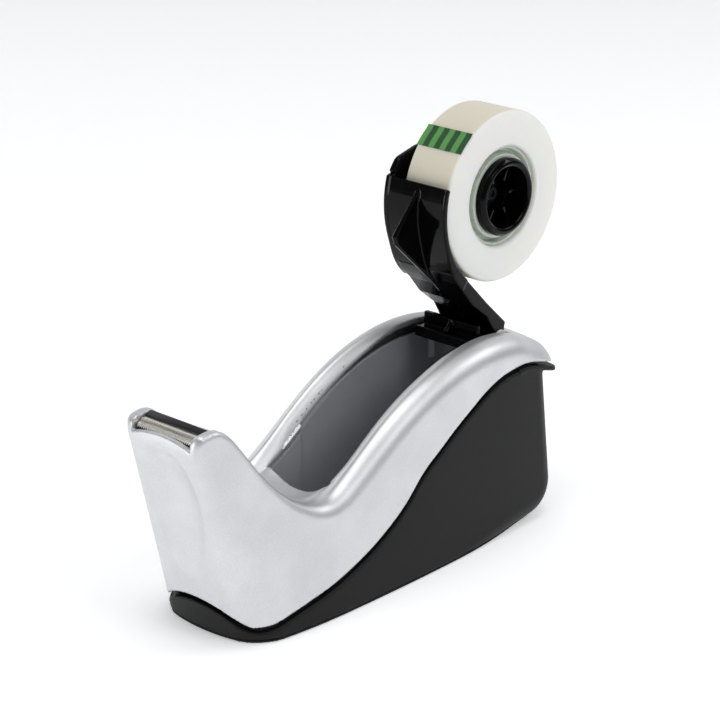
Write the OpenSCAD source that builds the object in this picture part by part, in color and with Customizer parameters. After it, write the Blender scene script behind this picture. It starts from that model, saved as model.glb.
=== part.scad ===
// Weighted desk tape dispenser with a swing-out roll arm.
// Millimetres. +Z is up, the blade faces -Y, the origin is on the table under the middle of the base.

/* [Tape roll] */
// Width of the tape
tape_w = 19; // [16:0.5:24]
// Outer diameter of a full roll
roll_d = 59; // [49:0.5:71]
// Bore of the roll's core
core_d = 26; // [21:0.5:32]
// Thickness of the core, from its bore to the first turn of tape
core_t = 4; // [3:0.5:6]
// Thickness of the folded tab at the end of the tape
tab_t = 0.24; // [0.12:0.02:0.4]

/* [Housing] */
// Width of the housing at the table
base_w = 53.2; // [50:0.2:64]
// Width across the rims of the hump
hump_w = 44; // [40:0.5:52]
// Width across the top of the nose
nose_w = 31; // [29:0.5:37]
// Distance from the well's front edge to the tip of the nose
nose_l = 60; // [50:1:72]
// Distance from the hinge to the back of the tail
tail_l = 22; // [18:0.5:27]
// Wall of the top cover and lower housing
wall = 2; // [1.6:0.1:2.4]
// Height of the shadow gap under the top cover
seam_gap = 1.8; // [1.2:0.1:2.4]

/* [Well] */
// Wall of the tape well
well_wall = 1.6; // [1.2:0.1:2]
// Side gap between the swing arm and the well
side_gap = 0.8; // [0.6:0.1:1.2]
// Free space in front of the closed roll, up to the well's front edge
front_gap = 13.6; // [11:0.2:17]
// Height of the closed roll's lowest point over the well floor
roll_lift = 4.6; // [4.2:0.1:6]

/* [Swing arm] */
// Angle from fully open to closed
swing_angle = 124; // [118:1:126]
// Distance from the roll's edge to the hinge
strap_l = 19.2; // [16:0.2:23]
// Gap between the roll and the arm's cradle
cradle_gap = 1.9; // [1.2:0.1:2.6]
// Thickness of the cradle and the side plate
arm_wall = 2; // [1.6:0.1:2.6]
// Diameter of the hinge pin
pin_d = 2.5; // [2:0.1:3]
// Diameter of the hub's axle stub
axle_d = 7; // [6:0.2:8.4]
// Radial running clearance of a shaft in its hole
run_gap = 0.05; // [0.03:0.01:0.09]

/* [Base] */
// Thickness of the anti-slip pad
pad_t = 1.2; // [0.8:0.1:1.6]
// Thickness of the base plate
plate_t = 1.6; // [1.4:0.1:2.4]
// Thickness of the base weight
weight_t = 3.6; // [3:0.1:5]

/* [Blade] */
// Length of the cutting edge
blade_w = 24.6; // [20:0.2:26]
// Thickness of the blade steel
blade_t = 0.45; // [0.3:0.05:0.6]
// Spacing of the blade's teeth
tooth_pitch = 0.8; // [0.6:0.1:2]

/* [Hidden] */

eps = 0.01;
far = 120;
$fn = 72;

// Stack under the well
plate_z = pad_t;
weight_z = plate_z + plate_t;
well_z = weight_z + weight_t;
floor_z = well_z + well_wall;

// Roll, hinge and the two places of the roll: swung out (open) and home in the well
roll_r = roll_d / 2;
reach = roll_r + strap_l;
open_dir = 85.5;
home_dir = open_dir + swing_angle;
hinge_y = 63;
hinge_z = floor_z + roll_lift + roll_r - reach * sin(home_dir);
roll_y = hinge_y + reach * cos(open_dir);
roll_z = hinge_z + reach * sin(open_dir);
home_y = hinge_y + reach * cos(home_dir);
home_z = hinge_z + reach * sin(home_dir);
well_front = home_y - roll_r - front_gap;
nose_tip = well_front - nose_l;

// Across the roll: hub flange and arm plate on the left, open on the right
half_tape = tape_w / 2;
flange_t = 2.1;
flange_gap = 0.2;
flange_x = -half_tape - flange_gap - flange_t;
plate_x = flange_x - 0.5;
arm_left = plate_x - arm_wall;
arm_right = half_tape + 2.7;
mouth = arm_right + side_gap;
pocket = -arm_left + side_gap;
pocket_front = home_y - reach * 0.545;
strap_half = arm_right - 0.2;
axle_end = half_tape - 7.1;
screw_seat = axle_end + 0.8;

// The outlines below are drawn for a 59 mm roll and a 60 mm nose. at_y and at_z carry a drawn
// place over to the sizes above: each stretch keeps its own end points.
function drawn_y(y) = y < -22.6 ? well_front + (y + 22.6) * nose_l / 60
    : y < 63 ? hinge_y + (y - 63) * (hinge_y - well_front) / 85.6
    : hinge_y + (y - 63) * tail_l / 22;
function drawn_z(z) = z < 66 ? z * hinge_z / 66 : hinge_z + z - 66;
function drawn(p) = [drawn_y(p[0]), drawn_z(p[1])];

// Smooth curve through points, and a round arc
function knot(p, i) = p[max(0, min(len(p) - 1, i))];
function bend(a, b, c, d, t) = 0.5 * (2 * b + (c - a) * t + (2 * a - 5 * b + 4 * c - d) * t * t
    + (3 * b - a - 3 * c + d) * t * t * t);
function smooth(p, steps) = concat([for (i = [0 : len(p) - 2], j = [0 : steps - 1])
    bend(knot(p, i - 1), knot(p, i), knot(p, i + 1), knot(p, i + 2), j / steps)], [p[len(p) - 1]]);
function arc(c, r, from, to, n) = [for (i = [0 : n]) let (a = from + (to - from) * i / n)
    c + r * [cos(a), sin(a)]];
function flip(p) = [for (i = [len(p) - 1 : -1 : 0]) [-p[i][0], p[i][1]]];

// Side outlines, [y, z]: the crest of the housing, and the curved seam between silver and black
crest = smooth([for (p = [[-84, 69], [-82.6, 72], [-78.5, 74.7], [-73.5, 74.6], [-68, 70.6],
    [-60, 59.4], [-50, 47.5], [-40, 40.6], [-30, 38.8], [-20, 44], [0, 57.3], [20, 66.4],
    [41, 70.6], [60, 69.4], [72, 66], [81, 61.2], [86, 56]]) drawn(p)], 4);
seam = smooth([for (p = [[-90, 9.5], [-68, 9.2], [-60, 8], [-48, 8.8], [-36, 11.6], [-11, 22.4],
    [14, 41], [31, 52.3], [48, 59], [62, 60.6], [74, 58.6], [90, 55.4]]) drawn(p)], 4);
below_crest = concat([[nose_tip - 20, -9]], crest, [[hinge_y + tail_l + 20, -9]]);
below_seam = concat([[nose_tip - 30, -9]], seam, [[hinge_y + tail_l + 30, -9]]);

// Half outlines seen from above, [x, y], at the table and at the height of the nose
kx = base_w / 53.2;
table_half = smooth([for (p = [[0, -66.8], [10, -66], [17, -64.4], [21.2, -61.4], [23.6, -55],
    [25.8, -40], [26.6, -3], [25.6, 30], [24.2, 62]]) [p[0] * kx, drawn_y(p[1])]], 4);
top_half = smooth([for (p = [[0, -84.4], [9, -84.3], [13.8, -83.6], [16.2, -80.6]])
    [p[0] * nose_w / 31, drawn_y(p[1])]], 4);
hump_half = [for (p = [[17.4, -60], [20, -30], [22, 0], [22, 40], [21, 62]])
    [p[0] * hump_w / 44, drawn_y(p[1])]];
function back_corner(x, y, r) = arc([x - r, y - r], r, 0, 90, 8);

tail_back = hinge_y + tail_l;
black_back = tail_back - 9;
back_round = 14;
foot_back = tail_back - back_round - 1;
top_z = drawn_z(75);

// The valley behind the blade: a round trough swept on a big circle about X
trough_r = (mouth * mouth + 5.7 * 5.7) / (2 * 5.7);
valley_r = 0.775 * nose_l;
valley_y = well_front - 0.098 * nose_l;
valley_z = drawn_z(33.6) + sqrt(valley_r * valley_r - pow(valley_y - well_front, 2));

// Places of the screws, posts and lugs. The rear ones stand beside the well, clear of its wall
post_r = 3;
beside_well = pocket + well_wall + post_r;
rear_base_x = beside_well + 0.3;
rear_post_x = beside_well + 1.1;
base_spots = [[16, drawn_y(-52)], [-16, drawn_y(-52)],
    [rear_base_x, drawn_y(50)], [-rear_base_x, drawn_y(50)]];
post_spots = [[18.6, drawn_y(-38)], [-18.6, drawn_y(-38)],
    [rear_post_x, drawn_y(34)], [-rear_post_x, drawn_y(34)]];
pilot_r = 1.2;
screw_r = 1.4;
lug_z = weight_z + 6;
lug_t = 2.4;
tower_h = 9;

// Joint between the cover and the lower housing: side gap, thickness and height of the tongue
cover_fit = 0.1;
tongue_t = 1.3;
tongue_h = 3.5;

// Blade seat on the nose
seat_y = nose_tip + 1.9;
seat_back = nose_tip + 7.5;
seat_half = blade_w / 2 + 0.4;
face_top = drawn_z(69.6);
seat_floor = drawn_z(64.2);
blade_z = drawn_z(71.6);
stake_r = 0.8;
stake_x = 7;
stake_y = seat_back - 1.2;
seat_fit = 0.1;

// Hinge: barrel on the arm, bushes in its ends and cheeks on the well
barrel_r = 3.2;
bush_r = 2.2;
bush_l = 5;
cheek_t = 4;
rib_t = 1.2;
fin_half = 0.8;

// Draws a [y, z] outline as a solid from x0 to x1
module across(outline, x0, x1) {
    translate([x0, 0, 0]) rotate([90, 0, 90]) linear_extrude(x1 - x0) polygon(outline);
}

// A rod along X
module rod(r, x0, x1, y, z) {
    translate([x0, y, z]) rotate([0, 90, 0]) cylinder(r = r, h = x1 - x0);
}

// Housing volume that narrows from the table outline to the top outline
module taper(inset, low_y, high_y) {
    low = concat(table_half, back_corner(kx * 24, low_y, 10), [[0, low_y]]);
    high = concat(top_half, hump_half, back_corner(hump_w / 2 - 1, high_y, 9), [[0, high_y]]);
    hull() {
        linear_extrude(eps) offset(delta = -inset) polygon(concat(low, flip(low)));
        translate([0, 0, top_z]) linear_extrude(eps) offset(delta = -inset)
            polygon(concat(high, flip(high)));
    }
}

// Everything under the crest, thinner all round by inset
module under_crest(inset) {
    translate([-far / 2, 0, 0]) rotate([90, 0, 90]) linear_extrude(far)
        offset(delta = -inset) polygon(below_crest);
}

module trough(grow) {
    intersection() {
        translate([0, valley_y, valley_z]) rotate([0, 90, 0]) rotate_extrude($fn = 120)
            translate([valley_r - trough_r, 0]) circle(trough_r + grow);
        translate([-far / 2, -far, 0]) cube([far, far + well_front + 1 + grow, far]);
    }
}

module cover_volume(inset) {
    difference() {
        intersection() {
            taper(inset, tail_back, tail_back);
            under_crest(inset);
        }
        trough(inset);
    }
}

// Rounds the lower back edge of the housing
module round_heel(inset) {
    across(concat([[nose_tip - 1, -9], [nose_tip - 1, far], [tail_back, far]],
        arc([foot_back, back_round + 0.5], back_round + 1 - inset, 0, -90, 10),
        [[foot_back, -9]]), -far, far);
}

module housing_volume(inset) {
    intersection() {
        taper(inset, tail_back, black_back);
        under_crest(inset);
        round_heel(inset);
    }
}

// The well's mouth seen from above, wider on the left where the arm's side plate passes
module mouth_prism(grow, low) {
    translate([0, 0, low]) linear_extrude(far) polygon([
        [mouth + grow, well_front - grow], [mouth + grow, hinge_y + 5.2 + grow],
        [-mouth - grow, hinge_y + 5.2 + grow], [-mouth - grow, hinge_y - 5 + grow],
        [-pocket - grow, hinge_y - 5 + grow], [-pocket - grow, pocket_front - grow],
        [-mouth - grow, pocket_front - grow], [-mouth - grow, well_front - grow]]);
}

module top_cover() {
    color("silver") difference() {
        union() {
            difference() {
                cover_volume(0);
                difference() {
                    cover_volume(wall);
                    for (s = post_spots) translate([s[0], s[1], lug_z + lug_t])
                        cylinder(r = post_r, h = far, $fn = 36);
                    translate([-seat_half - wall, seat_y - 4, seat_floor - wall])
                        cube([2 * seat_half + 2 * wall, seat_back - seat_y + 3, far]);
                }
                across(below_seam, -far, far);
            }
            intersection() {
                for (s = post_spots) translate([s[0], s[1], lug_z + lug_t])
                    cylinder(r = post_r, h = 60, $fn = 36);
                cover_volume(wall / 2);
            }
        }
        mouth_prism(0, 20);
        rod(pin_d / 2 + 0.1, -mouth - 3.3, mouth + 3.3, hinge_y, hinge_z);
        translate([-seat_half, seat_y, seat_floor])
            cube([2 * seat_half, seat_back - seat_y, far]);
        translate([-seat_half, seat_y - 10, face_top]) cube([2 * seat_half, 11, far]);
        translate([0, nose_tip, drawn_z(-22)]) rotate([-90, 0, 0])
            cylinder(r = drawn_z(33), h = 26, $fn = 120);
        for (s = post_spots) translate([s[0], s[1], lug_z])
            cylinder(r = pilot_r, h = lug_t + 12);
    }
}

module lower_housing() {
    color("#26272a") difference() {
        union() {
            // outer skin below the shadow gap, and the shelf under the tail
            difference() {
                union() {
                    intersection() {
                        housing_volume(0);
                        translate([0, 0, -seam_gap]) across(below_seam, -far, far);
                        translate([-far, -far, pad_t]) cube([2 * far, 2 * far, far]);
                    }
                    intersection() {
                        taper(1.6, tail_back, tail_back);
                        translate([0, 0, -seam_gap + 0.4]) across(below_seam, -far, far);
                        translate([-far, black_back - 9, drawn_z(53.6)]) cube([2 * far, far, 6]);
                    }
                }
                housing_volume(wall + cover_fit);
            }
            // tongue that stands up inside the cover and closes the shadow gap
            intersection() {
                difference() {
                    housing_volume(wall + cover_fit);
                    housing_volume(wall + cover_fit + tongue_t);
                }
                translate([0, 0, tongue_h]) across(below_seam, -far, far);
                translate([0, 0, -2]) difference() {
                    translate([-far, -far, 0]) cube([2 * far, 2 * far, far]);
                    translate([0, 0, -seam_gap]) across(below_seam, -far, far);
                }
            }
            // lugs for the cover screws and towers for the base screws
            intersection() {
                union() {
                    for (s = post_spots) translate([s[0], s[1], lug_z]) {
                        cylinder(r = post_r + 0.8, h = lug_t);
                        translate([s[0] > 0 ? 0 : -12, -2.4, 0]) cube([12, 4.8, lug_t]);
                    }
                    for (s = base_spots) translate([s[0], s[1], weight_z]) {
                        cylinder(r = post_r, h = tower_h);
                        translate([s[0] > 0 ? 0 : -12, -1, 0]) cube([12, 2, tower_h]);
                    }
                }
                union() {
                    housing_volume(wall + cover_fit);
                    intersection() {
                        housing_volume(wall / 2);
                        translate([0, 0, -seam_gap - 0.5]) across(below_seam, -far, far);
                    }
                }
            }
        }
        for (s = post_spots) translate([s[0], s[1], lug_z - 1]) {
            cylinder(r = screw_r + 0.2, h = lug_t + 2);
            translate([0, 0, lug_t + 1]) cylinder(r = post_r + 0.2, h = far);
        }
        for (s = base_spots) translate([s[0], s[1], weight_z - 1])
            cylinder(r = pilot_r, h = tower_h);
    }
}

// Space inside the well, [y, z]: a round front wall, a flat floor and a step at the back where
// the arm's heel swings down
well_back = hinge_y - 0.6;
heel_room = hinge_z - 18.6;
heel_back = hinge_y + 9.8;
well_space = concat(
    [[well_front, far], [well_front, drawn_z(39.4)]],
    [for (i = [1 : 12]) let (a = 180 + 7.5 * i) [well_front + (1 + cos(a)) * (home_y - 6.6 - well_front),
        drawn_z(39.4) + sin(a) * (drawn_z(39.4) - floor_z)]],
    [[well_back, floor_z], [well_back, heel_room], [heel_back, heel_room],
     [heel_back, hinge_z - 7.4], [hinge_y + 5.2, hinge_z - 7.4], [hinge_y + 5.2, far]]);
well_shell = concat(
    [[well_front - well_wall, far], [well_front - well_wall, drawn_z(39.4)]],
    [for (i = [1 : 12]) let (a = 180 + 7.5 * i)
        [well_front - well_wall + (1 + cos(a)) * (home_y - 6.6 - well_front + well_wall),
        drawn_z(39.4) + sin(a) * (drawn_z(39.4) - well_z)]],
    [[well_back + well_wall, well_z], [well_back + well_wall, heel_room - well_wall],
     [heel_back + well_wall, heel_room - well_wall], [heel_back + well_wall, hinge_z - 5.8],
     [hinge_y + 5.2 + well_wall, hinge_z - 5.8], [hinge_y + 5.2 + well_wall, far]]);

module tape_well() {
    color("#5b5d60") difference() {
        union() {
            intersection() {
                difference() {
                    across(well_shell, -pocket - well_wall, mouth + well_wall);
                    translate([-pocket - well_wall - 1, nose_tip, well_z - 1])
                        cube([pocket - mouth + 1, pocket_front - well_wall - nose_tip, far]);
                }
                cover_volume(wall + 0.05);
                housing_volume(wall + cover_fit + tongue_t + 0.1);
            }
            // cheeks that hold the ends of the hinge pin, inside the tongue
            intersection() {
                for (x = [-mouth - cheek_t, mouth]) translate([x, hinge_y - 4.6, hinge_z - 4])
                    cube([cheek_t, 9.2, 8]);
                cover_volume(wall + 0.05);
                taper(wall + cover_fit + tongue_t + 0.1, tail_back, black_back);
            }
        }
        difference() {
            across(well_space, -pocket, mouth);
            translate([-pocket - 1, nose_tip, well_z - 1])
                cube([pocket - mouth + 1, pocket_front - nose_tip, far]);
            translate([-pocket - 1, hinge_y - 5, hinge_z - 12]) cube([pocket - mouth + 1, 20, far]);
        }
        rod(pin_d / 2 + 0.02, -mouth - 3.2, mouth + 3.2, hinge_y, hinge_z);
    }
}

module base_outline(inset) {
    back = foot_back + 1.5;
    low = concat(table_half, back_corner(kx * 24, back, 10), [[0, back]]);
    offset(delta = -inset) polygon(concat(low, flip(low)));
}

module base_plate() {
    color("#1c1c1e") difference() {
        translate([0, 0, plate_z]) linear_extrude(plate_t) base_outline(wall + 0.5);
        for (s = base_spots) translate([s[0], s[1], plate_z - 1]) {
            cylinder(r = screw_r + 0.2, h = plate_t + 2);
            cylinder(r = 2.8, h = 2.2);
        }
    }
}

module base_pad() {
    color("#141414") linear_extrude(pad_t) base_outline(0.4);
}

module base_weight() {
    color("#7d8184") translate([-14, well_front - 2, weight_z])
        cube([28, hinge_y + 6 - well_front, weight_t]);
}

module nose_weight() {
    color("#7d8184") translate([-12.5, nose_tip + 24, weight_z])
        cube([25, well_front - 6 - nose_tip - 24, drawn_z(20)]);
}

module base_screws() {
    color("#8f9295") for (s = base_spots) translate([s[0], s[1], plate_z]) {
        cylinder(r = 2.6, h = 1.1);
        cylinder(r = pilot_r, h = 8);
    }
}

module cover_screws() {
    color("#8f9295") for (s = post_spots) translate([s[0], s[1], lug_z - 1.8]) {
        cylinder(r = 2, h = 1.8);
        cylinder(r = pilot_r, h = 12);
    }
}

// Places along the blade's cross-section: where its slope starts and where its teeth end
blade_front = seat_y + 2;
lip_y = seat_y + 0.4;

module blade_holder() {
    color("#202022") {
        across([[lip_y + 0.5, seat_floor], [lip_y + 0.5, blade_z - 1.9], [blade_front, blade_z],
            [seat_back - seat_fit, blade_z], [seat_back - seat_fit, seat_floor]],
            -seat_half + seat_fit, seat_half - seat_fit);
        for (x = [-stake_x, stake_x]) translate([x, stake_y, blade_z - 1])
            cylinder(r = stake_r, h = 1 + blade_t + 0.5);
    }
}

module tape_rest() {
    color("#101011") difference() {
        across([[blade_front + 1.5, blade_z + blade_t], [blade_front + 1.9, blade_z + blade_t + 0.7],
            [seat_back - seat_fit, blade_z + 1.9], [seat_back - seat_fit, blade_z + blade_t]],
            -seat_half + seat_fit, seat_half - seat_fit);
        for (x = [-stake_x, stake_x]) translate([x, stake_y, blade_z])
            cylinder(r = stake_r + 0.05, h = blade_t + 0.7);
    }
}

teeth = floor(blade_w / tooth_pitch);
tooth_h = 0.7;
module cutter_blade() {
    edge = [for (i = [0 : teeth * 2]) [(i - teeth) * tooth_pitch / 2, i % 2 == 0 ? tooth_h : 0]];
    drop = blade_z - face_top + 0.4;
    lean = atan2(drop, blade_front - lip_y);
    slant = sqrt(drop * drop + pow(blade_front - lip_y, 2));
    color("#d8d4cc") {
        difference() {
            translate([-blade_w / 2, blade_front, blade_z])
                cube([blade_w, seat_back - 0.3 - blade_front, blade_t]);
            for (x = [-stake_x, stake_x]) translate([x, stake_y, blade_z - 1])
                cylinder(r = stake_r + 0.05, h = 3);
        }
        translate([0, blade_front, blade_z]) rotate([lean, 0, 0]) translate([0, -slant, 0])
            linear_extrude(blade_t)
            polygon(concat(edge, [[blade_w / 2, slant + 0.2], [-blade_w / 2, slant + 0.2]]));
    }
}

module hinge_pin() {
    color("#b9bcc0") rod(pin_d / 2, -mouth - 3, mouth + 3, hinge_y, hinge_z);
}

// Places on the arm, measured from the roll's centre or from the hinge
roll_c = [roll_y, roll_z];
cradle_in = roll_r + cradle_gap;
cradle_out = cradle_in + arm_wall;
function from_roll(r, a) = roll_c + r * [cos(a), sin(a)];
function from_hinge(p) = [hinge_y + p[0], hinge_z + p[1]];

module swing_arm() {
    color("#0d0d0f") difference() {
        union() {
            // cradle round the front of the roll
            across(concat(arc(roll_c, cradle_in, 163, 229, 22), arc(roll_c, cradle_out, 229, 163, 22)),
                arm_left, arm_right);
            // side plate that carries the hub
            across(concat(arc(roll_c, cradle_out, 163, 240, 24), arc(roll_c, 19.5, 290, 460, 24),
                [roll_c + [-19, 17.2], roll_c + [-28, 15]]), arm_left, plate_x);
            rod(axle_d / 2, plate_x - 1, axle_end, roll_y, roll_z);
            rod(axle_d / 2 + 2.5, plate_x - eps, plate_x + 0.3, roll_y, roll_z);
            // strap down to the hinge barrel
            across([from_hinge([-24.6, 28]), from_hinge([-14, 15]), from_hinge([-6.6, 9.2]),
                from_hinge([-2.4, 2.2]), from_hinge([2.6, 1.6]), from_hinge([3.3, 5]),
                from_hinge([-6.5, 14.2]), from_roll(cradle_in + 0.1, 228),
                from_roll(cradle_in + 0.3, 215)], -strap_half, strap_half);
            rod(barrel_r, -strap_half, strap_half, hinge_y, hinge_z);
            // centre fin
            across([from_roll(cradle_out - 1, 164), from_hinge([-40.6, 42.6]),
                from_hinge([-39.6, 39.6]), from_hinge([-13.5, 15.6]), from_roll(cradle_out - 1, 236),
                from_roll(cradle_out - 1, 212), from_roll(cradle_out - 1, 188)], -fin_half, fin_half);
            // heel in front of the barrel
            across([from_hinge([-15.6, 1.4]), from_hinge([0, -1]), from_hinge([0, 1]),
                from_hinge([-15.6, 2.8])], -strap_half, strap_half);
            translate([-strap_half, hinge_y - 11.2, hinge_z + 1.6]) cube([2 * strap_half, rib_t, 5.4]);
            translate([-strap_half, hinge_y - 16, hinge_z - 0.6]) cube([2 * strap_half, rib_t, 3.4]);
            across([from_hinge([-15.6, 2]), from_hinge([-2, 1]), from_hinge([-4, 6]),
                from_hinge([-10.6, 6.8])], -fin_half, fin_half);
        }
        rod(bush_r, -strap_half - 1, -strap_half + bush_l, hinge_y, hinge_z);
        rod(bush_r, strap_half - bush_l, strap_half + 1, hinge_y, hinge_z);
        rod(pin_d / 2 + 0.25, -strap_half - 1, strap_half + 1, hinge_y, hinge_z);
        rod(1, axle_end - 8.9, axle_end + 0.1, roll_y, roll_z);
    }
}

module hinge_bushes() {
    color("#e8e4d8") for (side = [-1, 1]) scale([side, 1, 1]) difference() {
        union() {
            rod(bush_r - 0.02, strap_half - bush_l + 0.1, strap_half + 0.1, hinge_y, hinge_z);
            rod(barrel_r - 0.2, strap_half, strap_half + 0.5, hinge_y, hinge_z);
        }
        rod(pin_d / 2 + run_gap, strap_half - 6, strap_half + 2, hinge_y, hinge_z);
    }
}

module axle_washer() {
    color("#9a9da0") difference() {
        rod(5, axle_end, screw_seat, roll_y, roll_z);
        rod(1.15, axle_end - 1, screw_seat + 1, roll_y, roll_z);
    }
}

module axle_screw() {
    color("#2c2d2f") {
        rod(2.3, screw_seat, screw_seat + 1.6, roll_y, roll_z);
        rod(0.98, axle_end - 7.9, screw_seat + 0.1, roll_y, roll_z);
    }
}

hub_r = core_d / 2 - 0.1;
cup_r = hub_r - 2.4;
flange_r = hub_r + 2.6;
hub_end = half_tape + 2.4;
module hub_wheel() {
    web_x = axle_end - 0.3;
    boss_r = axle_d / 2 + 2;
    bore_r = axle_d / 2 + run_gap;
    color("#0b0b0c") {
        translate([0, roll_y, roll_z]) rotate([0, 90, 0]) rotate_extrude() polygon([
            [bore_r, flange_x], [boss_r, flange_x], [boss_r, web_x - 2], [cup_r, web_x - 2],
            [cup_r, flange_x], [flange_r, flange_x], [flange_r, -half_tape - flange_gap],
            [hub_r, -half_tape - flange_gap], [hub_r, hub_end - 0.8], [hub_r - 0.7, hub_end],
            [cup_r, hub_end], [cup_r, web_x], [bore_r, web_x]]);
        for (a = [0 : 60 : 300]) translate([0, roll_y, roll_z]) rotate([a, 0, 0])
            translate([web_x - eps, boss_r + 0.1, -rib_t / 2]) cube([5.4, cup_r - boss_r + 0.1, rib_t]);
    }
}

// The core is one ring with a groove in each face
module tape_core() {
    bore_r = core_d / 2;
    outer_r = bore_r + core_t;
    land = 1.3;
    groove = 2.6;
    color("#dfe3da") translate([0, roll_y, roll_z]) rotate([0, 90, 0]) rotate_extrude() polygon([
        [bore_r, -half_tape], [bore_r + land, -half_tape], [bore_r + land, groove - half_tape],
        [outer_r - 1, groove - half_tape], [outer_r - 1, -half_tape], [outer_r, -half_tape],
        [outer_r, half_tape], [outer_r - 1, half_tape], [outer_r - 1, half_tape - groove],
        [bore_r + land, half_tape - groove], [bore_r + land, half_tape - 1], [bore_r, half_tape - 1]]);
}

module tape_winding() {
    color("#f1f2ea") difference() {
        rod(roll_r - tab_t - 0.01, -half_tape, half_tape, roll_y, roll_z);
        rod(core_d / 2 + core_t, -far, far, roll_y, roll_z);
    }
}

module tape_end_tab() {
    color("#3f9a4a") across(concat(arc(roll_c, roll_r - tab_t, 124, 139, 8),
        arc(roll_c, roll_r, 139, 124, 8)), -half_tape, half_tape);
}

top_cover();
lower_housing();
tape_well();
base_plate();
base_pad();
base_weight();
nose_weight();
base_screws();
cover_screws();
blade_holder();
tape_rest();
cutter_blade();
hinge_pin();
swing_arm();
hinge_bushes();
axle_washer();
axle_screw();
hub_wheel();
tape_core();
tape_winding();
tape_end_tab();
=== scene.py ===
# %% [markdown]
# # A weighted desk tape dispenser, opened to change the roll
# A silver cover sits on a black base. Between them lies a grey well for the roll of tape, and an
# arm hinged at the back has lifted the roll out of it. The moving parts were designed in CAD, and
# this lesson dresses them: it loads them as a fixed frame, builds a finer skin for each visible
# piece, and gives every piece the finish that the real material has.

# %% Load the frame and the tools
import itertools
import math

import bmesh
import bpy
import numpy as np
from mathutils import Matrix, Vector


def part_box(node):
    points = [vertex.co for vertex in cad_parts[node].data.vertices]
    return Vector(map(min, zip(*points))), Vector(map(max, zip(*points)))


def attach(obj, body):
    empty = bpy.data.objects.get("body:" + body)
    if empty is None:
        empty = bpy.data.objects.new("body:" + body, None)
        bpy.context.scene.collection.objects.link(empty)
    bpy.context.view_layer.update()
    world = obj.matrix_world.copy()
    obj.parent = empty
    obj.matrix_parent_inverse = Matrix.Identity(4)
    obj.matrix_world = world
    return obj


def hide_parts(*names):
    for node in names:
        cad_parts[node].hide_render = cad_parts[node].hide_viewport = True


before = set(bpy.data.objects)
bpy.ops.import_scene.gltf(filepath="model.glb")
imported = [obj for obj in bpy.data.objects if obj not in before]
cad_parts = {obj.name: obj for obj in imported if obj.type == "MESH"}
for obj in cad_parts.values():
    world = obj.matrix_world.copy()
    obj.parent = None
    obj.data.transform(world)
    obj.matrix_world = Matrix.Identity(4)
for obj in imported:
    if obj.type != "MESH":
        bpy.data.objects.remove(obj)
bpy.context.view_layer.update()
MM = 0.001


def in_mm(node):
    """Lowest and highest corner of a frame node, in millimetres."""
    return [tuple(v / MM for v in corner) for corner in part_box(node)]


def middle(node):
    return [(a + b) / 2 for a, b in zip(*in_mm(node))]


ROLL_Y, ROLL_Z = middle("tape_winding")[1:]
HINGE_Y, HINGE_Z = middle("hinge_pin")[1:]

# %% [markdown]
# ## The camera
# A long lens from well back keeps the near end of the object from looking swollen. The camera
# stands in front, to the right and a little above, and it looks along a direction given by two
# angles. Its place and lens are set before anything is built, so that each new piece can be
# judged in the same view.

# %% Camera
AZIMUTH, ELEVATION = 42.668, 20.529
camera = bpy.data.objects.new("camera", bpy.data.cameras.new("camera"))
camera.location = (0.51873, -0.55622, 0.35722)
camera.rotation_euler = (math.radians(90 - ELEVATION), 0, math.radians(AZIMUTH))
camera.data.lens = 125.61
camera.data.sensor_width = 36
camera.data.clip_start, camera.data.clip_end = 0.05, 20
bpy.context.scene.collection.objects.link(camera)
bpy.context.scene.camera = camera
print("camera distance", round(camera.location.length, 3), "m")

# %% [markdown]
# ## Colours and nodes
# A colour picked on screen is stored with a curve in it, called sRGB. The renderer works with
# plain amounts of light, so one function undoes the curve. A second function adds one shader node
# with its settings and its links, which keeps each material short enough to read as a recipe.


# %% Colour and node helpers
def colour(code):
    """A colour such as "#C9CACC" as the linear amounts that a shader needs."""
    parts = [int(code[i:i + 2], 16) / 255 for i in (1, 3, 5)]
    return [c / 12.92 if c <= 0.04045 else ((c + 0.055) / 1.055) ** 2.4 for c in parts] + [1]


def add(tree, kind, inputs=None, **settings):
    """Adds one node. A value that is a socket is linked, and any other value is set."""
    node = tree.nodes.new("ShaderNode" + kind)
    for name, value in settings.items():
        setattr(node, name, value)
    for name, value in (inputs or {}).items():
        if isinstance(value, bpy.types.NodeSocket):
            tree.links.new(value, node.inputs[name])
        else:
            node.inputs[name].default_value = value
    return node


def material(name, **settings):
    """A new material: its node tree, its shader, and the piece's own coordinates in metres."""
    made = bpy.data.materials.new(name)
    made.use_nodes = True
    tree = made.node_tree
    tree.nodes.clear()
    shader = add(tree, "BsdfPrincipled", settings)
    add(tree, "OutputMaterial", {"Surface": shader.outputs["BSDF"]})
    return made, tree, shader, add(tree, "TexCoord").outputs["Object"]


def glow_through(weight, *radius):
    """Settings for light that enters a pale plastic and comes out again nearby, in metres."""
    return {"Subsurface Weight": weight, "Subsurface Scale": 1.0, "Subsurface Radius": radius}


def link_looks(tree, shader, **looks):
    """Joins finished colour, roughness and relief to the shader's sockets."""
    for name, value in looks.items():
        tree.links.new(value, shader.inputs[name.replace("_", " ")])


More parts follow.
